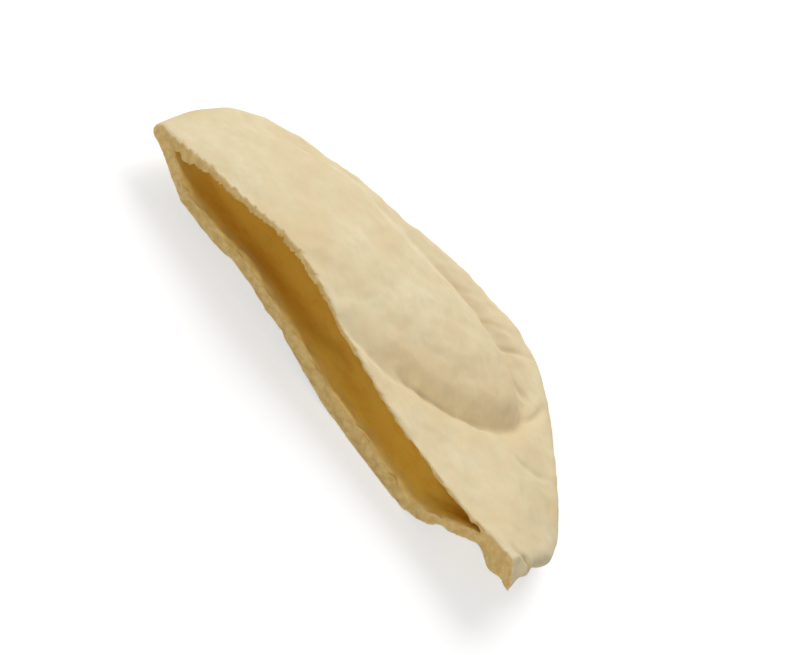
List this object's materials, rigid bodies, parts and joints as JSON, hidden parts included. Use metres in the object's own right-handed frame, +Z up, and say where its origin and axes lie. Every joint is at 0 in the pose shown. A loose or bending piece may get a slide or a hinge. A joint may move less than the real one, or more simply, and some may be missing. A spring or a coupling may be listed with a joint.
{
  "type": "pita bread",
  "caption": "Half of a round pocket flatbread, cut straight across so that its hollow pocket stands open, lying on its lower wall.",
  "frame": {"origin": "on the floor, under the middle of the piece's bounding box", "axes": "+X along the cut, from the thick left corner to the pointed right corner; +Y from the pocket's mouth to the round rim; +Z up, out of the upper wall"},
  "size_m": [0.1723, 0.0894, 0.0303],
  "materials": {
    "crust": "matte pale baked wheat crust, with paler porous crumb at the cut and a golden inside"
  },
  "bodies": {
    "root": {"pita_half": "crust"}
  },
  "joints": []
}
